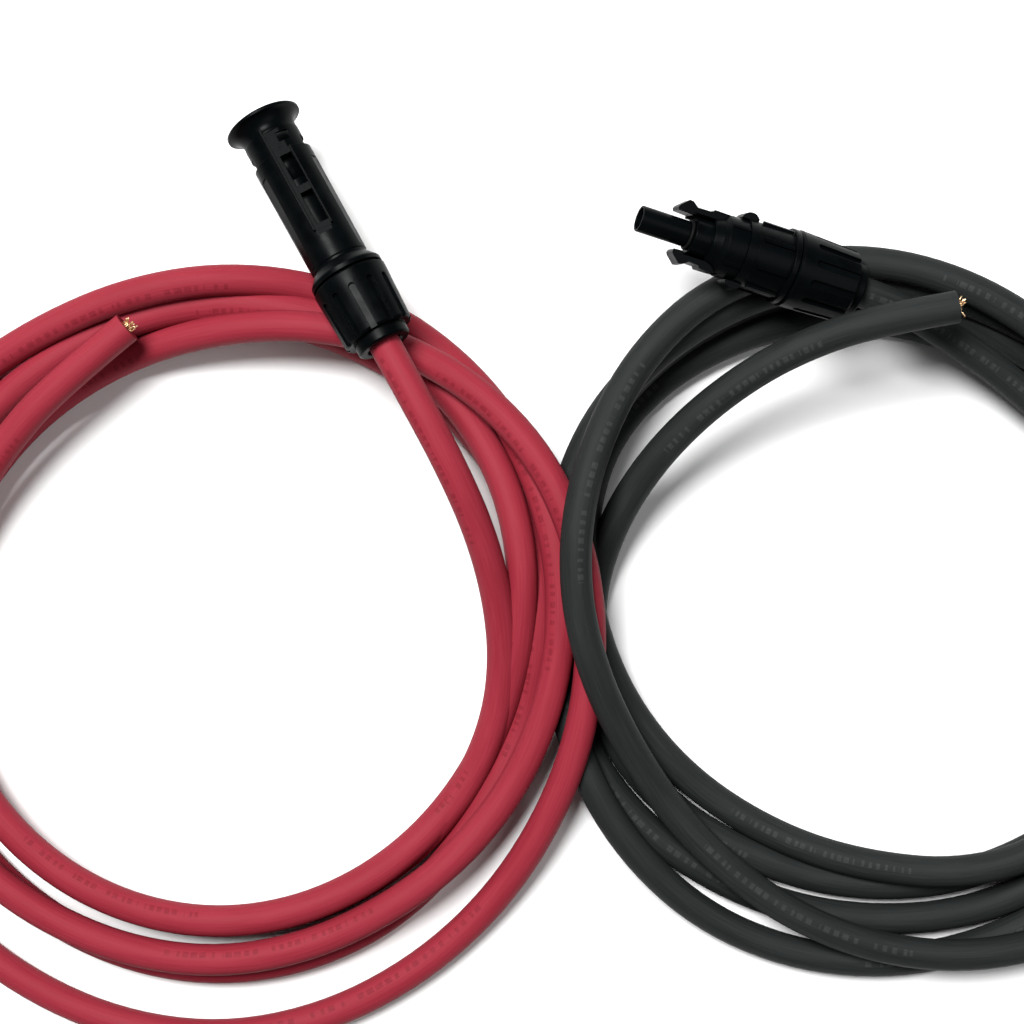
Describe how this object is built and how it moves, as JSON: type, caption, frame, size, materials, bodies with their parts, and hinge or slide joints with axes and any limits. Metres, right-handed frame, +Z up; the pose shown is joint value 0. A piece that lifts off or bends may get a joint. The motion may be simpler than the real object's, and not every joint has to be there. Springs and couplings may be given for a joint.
{
  "type": "solar cable connector",
  "caption": "Pair of solar panel leads: a red one with a socket coupler and a black one with a latching probe coupler, each with a coiled cable and a bare cut end.",
  "frame": {"origin": "on the table under the middle of the box round both leads", "axes": "+X along the longer side of that box, from the red coil to the black one; +Z up from the table"},
  "size_m": [0.3515, 0.2275, 0.0385],
  "materials": {
    "coupler_plastic": "black moulded polyamide with a soft satin sheen",
    "red_jacket": "matte red cross-linked cable jacket with faint lengthwise streaks",
    "black_jacket": "matte charcoal cable jacket with fine lengthwise scuffs",
    "seal_rubber": "dark silicone rubber",
    "tinned_contact": "tin-plated turned copper contact",
    "spring_brass": "bright spring brass",
    "copper_strands": "bare stranded copper"
  },
  "bodies": {
    "leads": {"red_socket_housing": "coupler_plastic", "red_contact_carrier": "coupler_plastic", "red_pin_contact": "tinned_contact", "red_cable_seal": "seal_rubber", "red_cable_in_gland": "red_jacket", "red_contact_retainer": "coupler_plastic", "red_copper_core": "copper_strands", "black_probe_housing": "coupler_plastic", "black_locking_collar": "coupler_plastic", "black_socket_contact": "tinned_contact", "black_contact_lamella": "spring_brass", "black_probe_o_ring": "seal_rubber", "black_cable_seal": "seal_rubber", "black_cable_in_gland": "black_jacket", "black_contact_retainer": "coupler_plastic", "black_copper_core": "copper_strands", "red_cable_lead": "red_jacket", "red_cable_tail": "red_jacket", "red_copper_end": "copper_strands", "red_cable_coil": "red_jacket", "black_cable_lead": "black_jacket", "black_cable_tail": "black_jacket", "black_copper_end": "copper_strands", "black_cable_coil": "black_jacket"},
    "red_collet": {"red_clamp_collet": "coupler_plastic"},
    "red_nut": {"red_gland_nut": "coupler_plastic"},
    "black_collet": {"black_clamp_collet": "coupler_plastic"},
    "black_nut": {"black_gland_nut": "coupler_plastic"},
    "latch_far": {"black_latch_arm_far": "coupler_plastic"},
    "latch_near": {"black_latch_arm_near": "coupler_plastic"}
  },
  "joints": [
    {"name": "red_collet_slide", "type": "slide", "parent": "leads", "child": "red_collet", "axis": [0.4801, -0.8625, 0.1599], "range_m": [0, 0.0045]},
    {"name": "red_nut_turn", "type": "hinge", "parent": "red_collet", "child": "red_nut", "pos_m": [-0.04547, 0.07129, 0.02517], "axis": [0.4801, -0.8625, 0.1599], "range_deg": [0, 1081]},
    {"name": "black_collet_slide", "type": "slide", "parent": "leads", "child": "black_collet", "axis": [0.9327, -0.2674, -0.2419], "range_m": [0, 0.0045]},
    {"name": "black_nut_turn", "type": "hinge", "parent": "black_collet", "child": "black_nut", "pos_m": [0.05599, 0.07392, 0.02658], "axis": [0.9327, -0.2674, -0.2419], "range_deg": [0, 1081]},
    {"name": "latch_far_flex", "type": "hinge", "parent": "leads", "child": "latch_far", "pos_m": [0.04128, 0.08423, 0.03081], "axis": [0.2326, -0.0667, 0.9703], "range_deg": [0, 4.5], "stiffness_Nm_per_rad": 0.5},
    {"name": "latch_near_flex", "type": "hinge", "parent": "leads", "child": "latch_near", "pos_m": [0.03806, 0.07298, 0.03081], "axis": [-0.2326, 0.0667, -0.9703], "range_deg": [0, 4.5], "stiffness_Nm_per_rad": 0.5}
  ],
  "couplings": [
    {"joint": "red_nut_turn", "follows": "red_collet_slide", "rad_per_m": 4188.8},
    {"joint": "black_nut_turn", "follows": "black_collet_slide", "rad_per_m": 4188.8}
  ]
}
